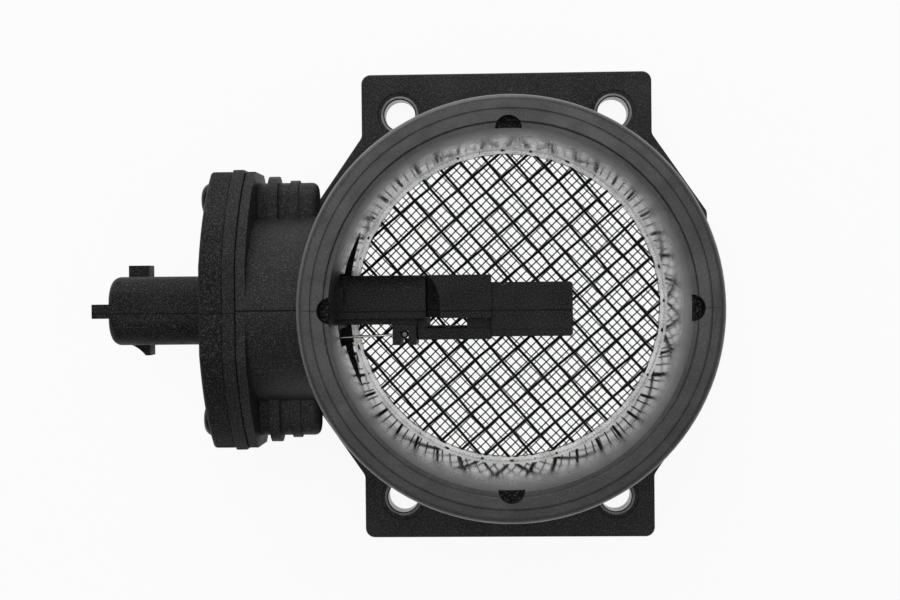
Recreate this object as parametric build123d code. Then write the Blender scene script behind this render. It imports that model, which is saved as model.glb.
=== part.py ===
"""Mass airflow sensor: an air tube with a mounting flange, two wire screens and a plug-in measuring arm.

Sizes are in millimetres. Z is the axis of the air tube: Z = 0 is the mounting face, and the hose goes on
the other end. The plug-in module lies along X: its connector points to -X and its measuring tip to +X.
"""

import math
import os

from build123d import *

# Air tube
BORE_D = 72.4
TUBE_WALL = 3.8
TUBE_HEIGHT = 58.0
FOOT_ROUND = 2.5
MOUTH_STEP = 0.9
MOUTH_STEP_DEPTH = 0.7
MOUTH_ROUND = 0.3

# Hose bead at the free end of the tube
BEAD_RISE = 2.8
BEAD_ROUND = 1.4
BEAD_BAND = 2.4
BEAD_BACK_SLOPE = 3.4
BEAD_DROP = 1.2
LIP_WALL = 3.2
LIP_GROOVE_WIDTH = 0.6
LIP_GROOVE_DEPTH = 0.5

# Half-round notches in the mouth of the tube
NOTCH_COUNT = 4
NOTCH_D = 5.4
NOTCH_REACH = 2.2
NOTCH_DEPTH = 3.5

# Mounting flange
FLANGE_THICKNESS = 6.0
EAR_MARGIN_X = 9.0
EAR_MARGIN_Y = 9.5
EAR_SIDE = 14.6
SHOULDER_MARGIN = 6.7
SHOULDER_LENGTH = 43.2
FLANGE_CORNER_R = 2.2
FLANGE_EDGE_R = 0.6

# Mounting holes with pressed-in sleeves
HOLE_SPACING_X = 50.0
HOLE_TUBE_GAP = 5.0
BUSH_BORE_D = 7.2
BUSH_WALL = 0.9
BUSH_LIP_R = 0.4
HOLE_RING_WIDTH = 0.75
HOLE_RING_DEPTH = 0.5

# Rubber ring in the mounting face
SEAL_OFFSET = 7.0
SEAL_WIDTH = 2.4
SEAL_THICKNESS = 2.0
SEAL_SIDE_GAP = 0.1
SEAL_EDGE_R = 0.5

# Wire screens in the flange end of the tube
SCREEN_LEDGE = 2.3
SCREEN_SEAT_DEPTH = 8.2
SCREEN_FIT = 0.1
SCREEN_RIM_GAP = 0.4
COARSE_WIRE_D = 0.65
COARSE_PITCH = 4.63
COARSE_ANGLE = 40.7
FINE_WIRE_D = 0.3
FINE_PITCH = 1.67
FINE_ANGLE = 44.3
FINE_COUNT_PER_RIDGE = 4
SPACER_HEIGHT = 1.5
RETAINER_RECESS = 0.2
RETAINER_CHAMFER = 0.5

# Side neck, its oval pad and the bore for the plug
NECK_FLANGE_GAP = 1.85
NECK_WALL = 2.65
NECK_REACH = 16.5
PORT_D = 35.0
PAD_THICKNESS = 2.1
PAD_END_MARGIN = 5.8
PAD_FLAT = 18.4
PAD_END_HEIGHT = 11.4
PAD_BULGE = 2.0

# Hole from the port into the bore: a lens beside a slot for the arm
OPENING_END_WALL = 0.7
OPENING_BOTTOM_WALL = 6.5
OPENING_END_RISE = 2.5
OPENING_CROWN = 3.5
OPENING_FIT = 0.3

# Screw bosses on the back of the pad
SCREW_SPACING = 48.0
BOSS_WALL = 1.7
BOSS_LENGTH = 13.0
BOSS_END_R = 1.4
BOSS_RIBS = ((2.3, 2.2, 1.4), (7.0, 1.9, 0.5))

# Plug-in module: carrier plate, plug and O-ring
CARRIER_THICKNESS = 2.7
CARRIER_OVERHANG = 0.4
PLUG_CLEARANCE = 0.2
PLUG_LENGTH = 18.5
PLUG_GROOVE_START = 5.0
PLUG_GROOVE_WIDTH = 2.6
PLUG_SEAL_SECTION_D = 2.3

# Collar at the root of the arm
COLLAR_THICKNESS = 1.2
COLLAR_FRONT = -4.4
COLLAR_INSET = 4.5
COLLAR_CORNER_R = 3.0

# Electronics part of the arm
ARM_BACK = 7.1
ARM_FRONT = -2.0
ARM_INSET = 5.0
ARM_LENGTH = 20.4
ARM_ROUND = 3.6
ROOT_GROOVE_OFFSET = 1.9
ROOT_GROOVE_WIDTH = 0.5
ROOT_GROOVE_DEPTH = 1.2
ROOT_GROOVE_FRONT = 0.9
POCKET_WALL = 2.6
POCKET_END_WALL = 2.0
ELECTRONICS_COVER_THICKNESS = 1.3
ELECTRONICS_COVER_DROP = 1.7

# Bridge between the electronics and the measuring channel
TRENCH_WIDTH = 3.0
TRENCH_DEPTH = 8.6
TRENCH_ARC_R = 8.7
TRENCH_ARC_Y = 1.1
BRIDGE_LENGTH = 10.8
WINDOW_WIDTH = 2.15
WINDOW_LENGTH = 8.6
WINDOW_FRAME_DROP = 3.0
WINDOW_END_WALL = 1.9

# Measuring tip
TIP_LENGTH = 17.2
TIP_BACK = 5.5
TIP_FRONT = -4.5
TIP_DROP = 1.5
TIP_CORNER_R = 0.7
TIP_NOTCH_D = 1.2
TIP_NOTCH_X = 2.6
CHANNEL_END_WALL = 2.0
CHANNEL_TOP_WALL = 3.0
CHANNEL_BACK_WALL = 2.0
CHANNEL_BEND_R = 4.0
OUTLET_HEIGHT = 5.0
INLET_FLARE = 1.2
CHANNEL_COVER_THICKNESS = 1.5
CHANNEL_COVER_ARM_FACE = -6.6
CHANNEL_COVER_DROP = 1.0

# Circuit, its plate and the hot-film element
BASE_PLATE_THICKNESS = 0.8
HYBRID_THICKNESS = 0.7
HYBRID_MARGIN = 0.5
TONGUE_WIDTH = 8.0
TONGUE_DROP = 2.0
TONGUE_TIP_WALL = 3.4
ELEMENT_SIZE = (4.0, 0.4, 6.4)
ELEMENT_INSET = 1.0
CHIP_SIZES = ((5.0, 0.9, 6.0), (3.4, 0.7, 3.4))
CHIP_PLACES = ((0.55, 0.22), (0.62, -0.24))

# Thermistor beside the arm
LEAD_D = 0.45
LEAD_SPACING = 2.0
LEAD_ROOT_Y = -6.1
LEAD_DROP = 2.5
LEAD_SLOT = 0.6
BEAD_GLASS_D = 1.6
BEAD_GLASS_LENGTH = 3.6
POST_WIDTH = 5.0
POST_DEPTH = 4.3
POST_HEIGHT = 10.5
POST_NOTCH_WIDTH = 1.7
POST_NOTCH_DEPTH = 3.0

# Connector cap
CAP_THICKNESS = 5.0
CAP_EDGE_R = 1.0
SHROUD_WIDTH = 14.7
SHROUD_END_GAP = 1.7
SHROUD_LENGTH = 21.0
SHROUD_CORNER_R = 5.6
SHROUD_WALL = 2.2
SHROUD_MOUTH_R = 1.9
SOCKET_FLOOR = 2.0
LATCH_INSET = 2.1
LATCH_LENGTH = 4.5
LATCH_RISE = 2.5
LATCH_WIDTH = 4.6
RAMP_LENGTH = 3.5
KEY_WIDTH = 3.0
KEY_LENGTH = 3.2
KEY_THICKNESS = 2.2

# Contact blades
TERMINAL_COUNT = 5
TERMINAL_PITCH = 3.9
TERMINAL_WIDTH = 2.2
TERMINAL_THICKNESS = 0.6
TERMINAL_SETBACK = 5.5
TERMINAL_TIP = 1.2
TERMINAL_OVERLAP = 2.4

# Screws of the module
SCREW_D = 4.0
SCREW_HEAD_OVERHANG = 1.85
SCREW_HEAD_HEIGHT = 2.8
SCREW_HEAD_BAND = 0.7
SCREW_DEPTH_IN_BOSS = 9.0
SCREW_POINT = 1.2
SCREW_RECESS_D = 3.2
SCREW_RECESS_LOBE_D = 1.0
SCREW_RECESS_DEPTH = 1.7

# Places and sizes that follow from the ones above
BORE_R = BORE_D / 2
TUBE_R = BORE_R + TUBE_WALL
BEAD_R = TUBE_R + BEAD_RISE
HOLE_SPACING_Y = 2 * (TUBE_R + HOLE_TUBE_GAP)
HOLE_RING_R = BUSH_BORE_D / 2 + BUSH_WALL + HOLE_RING_WIDTH
FLANGE_LENGTH = HOLE_SPACING_Y + 2 * EAR_MARGIN_Y
EAR_WIDTH = HOLE_SPACING_X + 2 * EAR_MARGIN_X
SHOULDER_WIDTH = 2 * (TUBE_R + SHOULDER_MARGIN)
SEAL_R = BORE_R + SEAL_OFFSET
PORT_R = PORT_D / 2
NECK_R = PORT_R + NECK_WALL
MODULE_Z = FLANGE_THICKNESS + NECK_FLANGE_GAP + NECK_R
PAD_LENGTH = SCREW_SPACING + 2 * PAD_END_MARGIN
PAD_FACE_X = -TUBE_R - NECK_REACH
PAD_BACK_X = PAD_FACE_X + PAD_THICKNESS
BOSS_D = SCREW_D + 2 * BOSS_WALL
CARRIER_X = PAD_FACE_X - CARRIER_THICKNESS
CAP_X = CARRIER_X - CAP_THICKNESS
TERMINAL_SPAN = TERMINAL_PITCH * (TERMINAL_COUNT - 1) + TERMINAL_WIDTH
SHROUD_HEIGHT = TERMINAL_SPAN + 2 * (SHROUD_WALL + SHROUD_END_GAP)
SHROUD_END_X = CAP_X - SHROUD_LENGTH
SOCKET_FLOOR_X = CAP_X - SOCKET_FLOOR
PLUG_END_X = PAD_FACE_X + PLUG_LENGTH
PLUG_R = PORT_R - PLUG_CLEARANCE / 2
COLLAR_X = PLUG_END_X + COLLAR_THICKNESS
COLLAR_HEIGHT = PORT_D - 2 * COLLAR_INSET
ARM_HEIGHT = PORT_D - 2 * ARM_INSET
ARM_TOP_Z = MODULE_Z + ARM_HEIGHT / 2
ARM_BOTTOM_Z = MODULE_Z - ARM_HEIGHT / 2
TRENCH_X = PLUG_END_X + ARM_LENGTH
BRIDGE_X = TRENCH_X + TRENCH_WIDTH
TIP_X = BRIDGE_X + BRIDGE_LENGTH
TIP_END_X = TIP_X + TIP_LENGTH
TIP_TOP_Z = ARM_TOP_Z - TIP_DROP
TIP_BOTTOM_Z = ARM_BOTTOM_Z + TIP_DROP
TONGUE_END_X = TIP_END_X - CHANNEL_END_WALL - TONGUE_TIP_WALL
TONGUE_Z = MODULE_Z - TONGUE_DROP
POCKET_END_X = TRENCH_X - POCKET_END_WALL
POCKET_HALF_HEIGHT = ARM_HEIGHT / 2 - POCKET_WALL
TERMINAL_END_X = COLLAR_X + HYBRID_MARGIN + TERMINAL_OVERLAP
HYBRID_FACE_Y = TERMINAL_THICKNESS / 2
PLATE_FACE_Y = HYBRID_FACE_Y + HYBRID_THICKNESS
POCKET_FLOOR_Y = PLATE_FACE_Y + BASE_PLATE_THICKNESS
WINDOW_END_X = TRENCH_X + WINDOW_LENGTH
WINDOW_FRAME_X = TRENCH_X - WINDOW_END_WALL
WINDOW_SIDE_Y = ARM_FRONT - WINDOW_WIDTH
COVER_FACE_Y = ARM_FRONT - ELECTRONICS_COVER_THICKNESS
POST_X = POCKET_END_X - POST_WIDTH / 2
LEAD_Z = ARM_TOP_Z - LEAD_DROP
SCREEN_SEAT_R = BORE_R + SCREEN_LEDGE
SCREEN_R = SCREEN_SEAT_R - SCREEN_FIT
SCREEN_OPEN_R = BORE_R + SCREEN_RIM_GAP
COARSE_TOP_Z = SCREEN_SEAT_DEPTH
FINE_TOP_Z = COARSE_TOP_Z - 2 * COARSE_WIRE_D - SPACER_HEIGHT
RETAINER_TOP_Z = FINE_TOP_Z - 2 * FINE_WIRE_D


def block(x_range, y_range, z_range):
    """Box between two limits on each axis."""
    middle = [sum(limits) / 2 for limits in (x_range, y_range, z_range)]
    sides = [max(limits) - min(limits) for limits in (x_range, y_range, z_range)]
    return Pos(*middle) * Box(*sides)


def across(x):
    """Plane across the module's axis at x, whose own x is Y and whose own y is the height over that axis."""
    return Plane(origin=(x, 0, MODULE_Z), x_dir=(0, 1, 0), z_dir=(1, 0, 0))


def prism_along_x(section, x_start, x_end):
    """Extrude a section, drawn about the module's axis, from x_start to x_end."""
    return extrude(across(x_start) * section, x_end - x_start)


def ring(outer_r, inner_r, bottom, top):
    """Plain ring about the tube's axis."""
    return Pos(0, 0, bottom) * extrude(Circle(outer_r) - Circle(inner_r), top - bottom)


def mirrored_pair(spacing):
    """The two places on Y that the module's screws and bosses share."""
    return (spacing / 2, -spacing / 2)


def tube():
    """Air tube turned about Z, with its stepped mouth, lip groove, hose bead and rounded foot."""
    lip_r = BORE_R + LIP_WALL
    mouth_r = BORE_R + MOUTH_STEP
    bead_top = TUBE_HEIGHT - BEAD_DROP
    band_top = bead_top - BEAD_ROUND
    band_bottom = band_top - BEAD_BAND
    neck_z = band_bottom - BEAD_BACK_SLOPE
    groove_r = lip_r + LIP_GROOVE_WIDTH
    groove_z = bead_top - LIP_GROOVE_DEPTH
    foot_r = TUBE_R + FOOT_ROUND
    foot_z = FLANGE_THICKNESS + FOOT_ROUND
    quarter = math.sqrt(0.5)
    outline = Polyline(
        (BORE_R, 0),
        (BORE_R, TUBE_HEIGHT - MOUTH_STEP_DEPTH),
        (mouth_r, TUBE_HEIGHT - MOUTH_STEP_DEPTH),
        (mouth_r, TUBE_HEIGHT - MOUTH_ROUND),
    )
    outline += ThreePointArc(
        (mouth_r, TUBE_HEIGHT - MOUTH_ROUND),
        (mouth_r + MOUTH_ROUND * (1 - quarter), TUBE_HEIGHT - MOUTH_ROUND * (1 - quarter)),
        (mouth_r + MOUTH_ROUND, TUBE_HEIGHT),
    )
    outline += Polyline(
        (mouth_r + MOUTH_ROUND, TUBE_HEIGHT),
        (lip_r, TUBE_HEIGHT),
        (lip_r, groove_z),
        (groove_r, groove_z),
        (groove_r, bead_top),
        (BEAD_R - BEAD_ROUND, bead_top),
    )
    outline += ThreePointArc(
        (BEAD_R - BEAD_ROUND, bead_top),
        (BEAD_R - BEAD_ROUND * (1 - quarter), bead_top - BEAD_ROUND * (1 - quarter)),
        (BEAD_R, band_top),
    )
    outline += Polyline((BEAD_R, band_top), (BEAD_R, band_bottom), (TUBE_R, neck_z), (TUBE_R, foot_z))
    outline += ThreePointArc(
        (TUBE_R, foot_z),
        (foot_r - FOOT_ROUND * quarter, foot_z - FOOT_ROUND * quarter),
        (foot_r, FLANGE_THICKNESS),
    )
    outline += Polyline((foot_r, FLANGE_THICKNESS), (foot_r, 0), (BORE_R, 0))
    return revolve(Plane.XZ * make_face(outline), Axis.Z)


def flange_plate():
    """Mounting plate: two ears with the holes, and wider shoulders beside the tube."""
    ear_y = FLANGE_LENGTH / 2
    waist_y = ear_y - EAR_SIDE
    shoulder_y = SHOULDER_LENGTH / 2
    corners = (
        (EAR_WIDTH / 2, ear_y),
        (EAR_WIDTH / 2, waist_y),
        (SHOULDER_WIDTH / 2, shoulder_y),
        (SHOULDER_WIDTH / 2, -shoulder_y),
        (EAR_WIDTH / 2, -waist_y),
        (EAR_WIDTH / 2, -ear_y),
    )
    left = [(-x, y) for x, y in reversed(corners)]
    outline = make_face(Polyline(*corners, *left, close=True))
    outline = fillet(outline.vertices(), FLANGE_CORNER_R)
    plate = extrude(outline, FLANGE_THICKNESS)
    return fillet(plate.faces().sort_by(Axis.Z)[-1].edges(), FLANGE_EDGE_R)


def pad_section(grow=0.0):
    """Oval outline that the housing's pad, the carrier plate and the cap share, larger by grow all round."""
    flat = PAD_FLAT / 2
    top = NECK_R + grow
    end = PAD_LENGTH / 2 + grow
    low = PAD_END_HEIGHT / 2 + grow
    corners = ((flat, top), (end, low), (end, -low), (flat, -top), (-flat, -top), (-end, -low), (-end, low))
    sides = Line((-flat, top), corners[0]) + SagittaArc(corners[0], corners[1], PAD_BULGE)
    sides += Line(corners[1], corners[2]) + SagittaArc(corners[2], corners[3], PAD_BULGE)
    sides += Line(corners[3], corners[4]) + SagittaArc(corners[4], corners[5], PAD_BULGE)
    sides += Line(corners[5], corners[6]) + SagittaArc(corners[6], (-flat, top), PAD_BULGE)
    return make_face(sides)


def boss_section(y, grow=0.0):
    """Round boss about a screw at y, with a flat web from it into the neck."""
    height = BOSS_D + 2 * grow
    side = math.copysign(1, y)
    root = side * (PORT_R + NECK_R) / 2
    web = Pos((y + root) / 2, 0) * Rectangle(abs(y - root), height)
    return Pos(y, 0) * Circle(height / 2) + web


def screw_boss(y):
    """One boss with its two collar ribs."""
    boss = prism_along_x(boss_section(y), PAD_BACK_X, PAD_BACK_X + BOSS_LENGTH)
    end_edges = boss.faces().sort_by(Axis.X)[-1].edges()
    outer = [edge for edge in end_edges if abs(edge.center().Y) > NECK_R]
    boss = fillet(outer, BOSS_END_R)
    for start, width, grow in BOSS_RIBS:
        rib_x = PAD_BACK_X + start
        boss += prism_along_x(boss_section(y, grow), rib_x, rib_x + width)
    return boss


def hole_places():
    """Centres of the four mounting holes."""
    return GridLocations(HOLE_SPACING_X, HOLE_SPACING_Y, 2, 2)


def wall_opening():
    """Hole from the port into the bore: a lens as wide as the plug, and a slot that fits the arm."""
    end = (PORT_R - OPENING_END_WALL, OPENING_END_RISE)
    other_end = (-end[0], end[1])
    outline = ThreePointArc(other_end, (0, OPENING_BOTTOM_WALL - PORT_R), end)
    outline += ThreePointArc(end, (0, OPENING_END_RISE + OPENING_CROWN), other_end)
    front = COVER_FACE_Y - POST_DEPTH - OPENING_FIT
    back = ARM_BACK + OPENING_FIT
    slot = Rectangle(back - front, COLLAR_HEIGHT + 2 * OPENING_FIT)
    return make_face(outline) + Pos((front + back) / 2, 0) * slot


def mouth_notches():
    """Cutters for the half-round notches round the mouth of the tube."""
    centre_r = BORE_R + NOTCH_REACH - NOTCH_D / 2
    cutter = Pos(0, 0, TUBE_HEIGHT - NOTCH_DEPTH) * extrude(Circle(NOTCH_D / 2), NOTCH_DEPTH)
    return PolarLocations(centre_r, NOTCH_COUNT) * cutter


def housing():
    """The one-piece moulding: tube, flange, neck, pad and screw bosses."""
    body = flange_plate() + tube()
    body += prism_along_x(Circle(NECK_R), PAD_BACK_X, -BORE_R / 2)
    body += prism_along_x(pad_section(), PAD_FACE_X, PAD_BACK_X)
    for y in mirrored_pair(SCREW_SPACING):
        body += screw_boss(y)
    body -= extrude(Circle(BORE_R), TUBE_HEIGHT)
    body -= extrude(Circle(SCREEN_SEAT_R), SCREEN_SEAT_DEPTH)
    body -= prism_along_x(Circle(PORT_R), PAD_FACE_X, PLUG_END_X)
    body -= prism_along_x(wall_opening(), PLUG_END_X, 0)
    half_groove = SEAL_WIDTH / 2 + SEAL_SIDE_GAP
    body -= ring(SEAL_R + half_groove, SEAL_R - half_groove, 0, SEAL_THICKNESS)
    body -= hole_places() * extrude(Circle(BUSH_BORE_D / 2 + BUSH_WALL), FLANGE_THICKNESS)
    hole_ring = Pos(0, 0, FLANGE_THICKNESS - HOLE_RING_DEPTH) * extrude(Circle(HOLE_RING_R), HOLE_RING_DEPTH)
    body -= hole_places() * hole_ring
    body -= mouth_notches()
    for y in mirrored_pair(SCREW_SPACING):
        pilot = Pos(y, 0) * Circle(SCREW_D / 2)
        body -= prism_along_x(pilot, PAD_FACE_X, PAD_BACK_X + SCREW_DEPTH_IN_BOSS)
    return body


def mounting_bushes():
    """Four metal sleeves, flush with the mounting face and with rounded rims on top."""
    sleeve = ring(BUSH_BORE_D / 2 + BUSH_WALL, BUSH_BORE_D / 2, 0, FLANGE_THICKNESS - HOLE_RING_DEPTH)
    top_edges = sleeve.faces().sort_by(Axis.Z)[-1].edges()
    sleeve = fillet(top_edges.sort_by(SortBy.RADIUS)[0], BUSH_LIP_R)
    return Part() + hole_places() * sleeve


def flange_seal():
    """Rubber ring, as it lies pressed flush into its groove."""
    seal = ring(SEAL_R + SEAL_WIDTH / 2, SEAL_R - SEAL_WIDTH / 2, 0, SEAL_THICKNESS)
    return fillet(seal.faces().sort_by(Axis.Z)[-1].edges(), SEAL_EDGE_R)


def wire_layer(wire, pitch, angle):
    """Parallel wires of one direction across the screen's opening, as a flat section."""
    reach = SCREEN_OPEN_R + SCREEN_RIM_GAP
    count = 2 * int(reach / pitch) + 1
    wires = Sketch() + GridLocations(0, pitch, 1, count) * Rectangle(2 * reach, wire)
    return Rot(0, 0, angle) * wires & Circle(reach)


def screen(top, wire, pitch, angle, wires_per_ridge=1):
    """Wire screen with a flattened rim: a layer of wires one way, and ridges on it for the crossing ones."""
    rim = Circle(SCREEN_R) - Circle(SCREEN_OPEN_R)
    lower = extrude(rim + wire_layer(wire, pitch, angle), wire)
    upper = extrude(rim + wire_layer(wire, pitch * wires_per_ridge, angle + 90), wire)
    return Pos(0, 0, top - 2 * wire) * (lower + Pos(0, 0, wire) * upper)


def screen_spacer():
    """Ring between the two screens."""
    return ring(SCREEN_R, BORE_R, FINE_TOP_Z, FINE_TOP_Z + SPACER_HEIGHT)


def screen_retainer():
    """Ring pressed in behind the screens, chamfered on its open inner edge."""
    band = ring(SCREEN_SEAT_R, BORE_R, RETAINER_RECESS, RETAINER_TOP_Z)
    edges = band.faces().sort_by(Axis.Z)[0].edges().sort_by(SortBy.RADIUS)
    return chamfer(edges[0], RETAINER_CHAMFER)


def plug():
    """Round plug with the O-ring groove and the collar that the arm grows from."""
    body = prism_along_x(Circle(PLUG_R), PAD_FACE_X, PLUG_END_X)
    groove_r = PORT_R - PLUG_SEAL_SECTION_D
    groove_x = PAD_FACE_X + PLUG_GROOVE_START
    groove = Circle(PLUG_R) - Circle(groove_r)
    body -= prism_along_x(groove, groove_x, groove_x + PLUG_GROOVE_WIDTH)
    middle = (ARM_BACK + COLLAR_FRONT) / 2
    collar = Pos(middle, 0) * RectangleRounded(ARM_BACK - COLLAR_FRONT, COLLAR_HEIGHT, COLLAR_CORNER_R)
    return body + prism_along_x(collar, PLUG_END_X, COLLAR_X)


def electronics_part():
    """Part of the arm over the circuit, with large rounds along its back and a groove across its root."""
    body = block((PLUG_END_X, TRENCH_X), (ARM_FRONT, ARM_BACK), (ARM_BOTTOM_Z, ARM_TOP_Z))
    body = fillet(body.edges().filter_by(Axis.X).sort_by(Axis.Y)[-2:], ARM_ROUND)
    groove_x = (COLLAR_X + ROOT_GROOVE_OFFSET, COLLAR_X + ROOT_GROOVE_OFFSET + ROOT_GROOVE_WIDTH)
    return body - block(groove_x, (ROOT_GROOVE_FRONT, ARM_BACK), (ARM_TOP_Z - ROOT_GROOVE_DEPTH, ARM_TOP_Z))


def bridge_part():
    """Part between the electronics and the tip, with an arched trench and the frame of the side window."""
    body = block((TRENCH_X, TIP_X), (ARM_FRONT, ARM_BACK), (ARM_BOTTOM_Z, ARM_TOP_Z))
    arch = Pos(BRIDGE_X - TRENCH_ARC_R, TRENCH_ARC_Y) * Circle(TRENCH_ARC_R)
    below = Pos(BRIDGE_X - TRENCH_ARC_R / 2, TRENCH_ARC_Y - TRENCH_ARC_R)
    arch += below * Rectangle(TRENCH_ARC_R, 2 * TRENCH_ARC_R)
    body -= Pos(0, 0, ARM_TOP_Z - TRENCH_DEPTH) * extrude(arch, TRENCH_DEPTH)
    frame_z = (ARM_BOTTOM_Z + WINDOW_FRAME_DROP, ARM_TOP_Z - WINDOW_FRAME_DROP)
    body += block((WINDOW_END_X, TIP_X), (WINDOW_SIDE_Y, ARM_FRONT), frame_z)
    return body + block((WINDOW_FRAME_X, TRENCH_X), (WINDOW_SIDE_Y, ARM_FRONT), frame_z)


def tip_part():
    """Solid block of the tip, before its channel is cut."""
    body = block((TIP_X, TIP_END_X), (TIP_FRONT, TIP_BACK), (TIP_BOTTOM_Z, TIP_TOP_Z))
    body = fillet(body.edges().filter_by(Axis.Z).sort_by(Axis.X)[-2:], TIP_CORNER_R)
    height = TIP_TOP_Z - TIP_BOTTOM_Z
    notch = Pos(TIP_X + TIP_NOTCH_X, TIP_BACK, TIP_BOTTOM_Z) * extrude(Circle(TIP_NOTCH_D / 2), height)
    return body - notch


def measuring_channel():
    """Cutter for the channel: flared inlet, passage over the element, bend, and outlet into the window."""
    x_range = (TIP_X + CHANNEL_END_WALL, TIP_END_X - CHANNEL_END_WALL)
    y_range = (TIP_FRONT, TIP_BACK - CHANNEL_BACK_WALL)
    z_top = TIP_TOP_Z - CHANNEL_TOP_WALL
    channel = block(x_range, y_range, (TIP_BOTTOM_Z, z_top))
    top_edges = channel.faces().sort_by(Axis.Z)[-1].edges().filter_by(Axis.Y)
    channel = fillet(top_edges.sort_by(Axis.X)[-1], CHANNEL_BEND_R)
    flare_width = x_range[1] - x_range[0]
    flare = Plane((x_range[0] + flare_width / 2, TIP_FRONT, TIP_BOTTOM_Z), x_dir=(1, 0, 0), z_dir=(0, 1, 0))
    wedge = make_face(
        Polyline(
            (-flare_width / 2 - INLET_FLARE, 0),
            (flare_width / 2 + INLET_FLARE, 0),
            (flare_width / 2, -INLET_FLARE),
            (-flare_width / 2, -INLET_FLARE),
            close=True,
        )
    )
    channel += extrude(flare * wedge, y_range[1] - y_range[0])
    outlet_z = (z_top - OUTLET_HEIGHT, z_top)
    channel += block((WINDOW_END_X, x_range[0]), (WINDOW_SIDE_Y, ARM_FRONT), outlet_z)
    return channel


def sensor_body():
    """Second moulding: carrier plate, plug and the whole measuring arm, open towards its two covers."""
    body = prism_along_x(pad_section(CARRIER_OVERHANG), CARRIER_X, PAD_FACE_X) + plug()
    body += electronics_part()
    body += bridge_part()
    body += tip_part()
    pocket_z = (MODULE_Z - POCKET_HALF_HEIGHT, MODULE_Z + POCKET_HALF_HEIGHT)
    body -= block((COLLAR_X, POCKET_END_X), (ARM_FRONT, POCKET_FLOOR_Y), pocket_z)
    body -= measuring_channel()
    tongue_z = (TONGUE_Z - TONGUE_WIDTH / 2, TONGUE_Z + TONGUE_WIDTH / 2)
    body -= block((POCKET_END_X, TIP_X + CHANNEL_END_WALL), (PLATE_FACE_Y, POCKET_FLOOR_Y), tongue_z)
    for z in terminal_heights():
        half = TERMINAL_WIDTH / 2
        slot_y = (-TERMINAL_THICKNESS / 2, TERMINAL_THICKNESS / 2)
        body -= block((CARRIER_X, TERMINAL_END_X), slot_y, (z - half, z + half))
    for y in mirrored_pair(SCREW_SPACING):
        body -= prism_along_x(Pos(y, 0) * Circle(SCREW_D / 2), CARRIER_X, PAD_FACE_X)
    return body


def plug_seal():
    """O-ring between the plug's groove and the port."""
    section_r = PLUG_SEAL_SECTION_D / 2
    seal_x = PAD_FACE_X + PLUG_GROOVE_START + PLUG_GROOVE_WIDTH / 2
    return across(seal_x) * Torus(PORT_R - section_r, section_r)


def electronics_cover():
    """Flat cover over the circuit, with the notched post that holds the thermistor."""
    cover_z = (ARM_BOTTOM_Z + ELECTRONICS_COVER_DROP, ARM_TOP_Z - ELECTRONICS_COVER_DROP)
    cover = block((COLLAR_X, WINDOW_FRAME_X), (COVER_FACE_Y, ARM_FRONT), cover_z)
    post_x = (POST_X - POST_WIDTH / 2, POST_X + POST_WIDTH / 2)
    post_y = (COVER_FACE_Y - POST_DEPTH, COVER_FACE_Y)
    cover += block(post_x, post_y, (ARM_TOP_Z - POST_HEIGHT, ARM_TOP_Z))
    post_z = (ARM_TOP_Z - POST_HEIGHT, ARM_TOP_Z)
    notch_x = (POST_X - POST_NOTCH_WIDTH / 2, POST_X + POST_NOTCH_WIDTH / 2)
    notch_y = (post_y[0], post_y[0] + POST_NOTCH_DEPTH)
    cover -= block(notch_x, notch_y, post_z)
    for z in lead_heights():
        slot_z = (z - LEAD_SLOT / 2, z + LEAD_SLOT / 2)
        cover -= block((post_x[0], POST_X), notch_y, slot_z)
    return cover


def channel_cover():
    """Cover of the measuring channel, thicker where it makes the outer side of the window."""
    tip_z = (TIP_BOTTOM_Z, TIP_TOP_Z)
    cover = block((TIP_X, TIP_END_X), (TIP_FRONT - CHANNEL_COVER_THICKNESS, TIP_FRONT), tip_z)
    cover = fillet(cover.edges().filter_by(Axis.Z).sort_by(Axis.X)[-2:].sort_by(Axis.Y)[0], TIP_CORNER_R)
    bar_z = (TIP_BOTTOM_Z + CHANNEL_COVER_DROP, TIP_TOP_Z - CHANNEL_COVER_DROP)
    return cover + block((WINDOW_FRAME_X, TIP_X), (CHANNEL_COVER_ARM_FACE, WINDOW_SIDE_Y), bar_z)


def base_plate():
    """Stamped plate under the circuit, with the tongue that reaches into the measuring channel."""
    y_range = (PLATE_FACE_Y, POCKET_FLOOR_Y)
    half = POCKET_HALF_HEIGHT
    plate = block((COLLAR_X, POCKET_END_X), y_range, (MODULE_Z - half, MODULE_Z + half))
    tongue_z = (TONGUE_Z - TONGUE_WIDTH / 2, TONGUE_Z + TONGUE_WIDTH / 2)
    return plate + block((POCKET_END_X, TONGUE_END_X), y_range, tongue_z)


def hybrid_circuit():
    """Ceramic circuit board with two chips on its open face."""
    x_range = (COLLAR_X + HYBRID_MARGIN, POCKET_END_X - HYBRID_MARGIN)
    half = POCKET_HALF_HEIGHT - HYBRID_MARGIN
    board = block(x_range, (HYBRID_FACE_Y, PLATE_FACE_Y), (MODULE_Z - half, MODULE_Z + half))
    for (length, height, width), (along, up) in zip(CHIP_SIZES, CHIP_PLACES):
        x = x_range[0] + along * (x_range[1] - x_range[0])
        z = MODULE_Z + up * 2 * half
        chip_z = (z - width / 2, z + width / 2)
        board += block((x - length / 2, x + length / 2), (HYBRID_FACE_Y - height, HYBRID_FACE_Y), chip_z)
    return board


def flow_element():
    """Hot-film chip on the tongue, in the stream of the measuring channel."""
    length, thickness, width = ELEMENT_SIZE
    end = TONGUE_END_X - ELEMENT_INSET
    element_z = (TONGUE_Z - width / 2, TONGUE_Z + width / 2)
    return block((end - length, end), (PLATE_FACE_Y - thickness, PLATE_FACE_Y), element_z)


def lead_heights():
    """Heights of the thermistor's two leads."""
    return (LEAD_Z + LEAD_SPACING / 2, LEAD_Z - LEAD_SPACING / 2)


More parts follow.
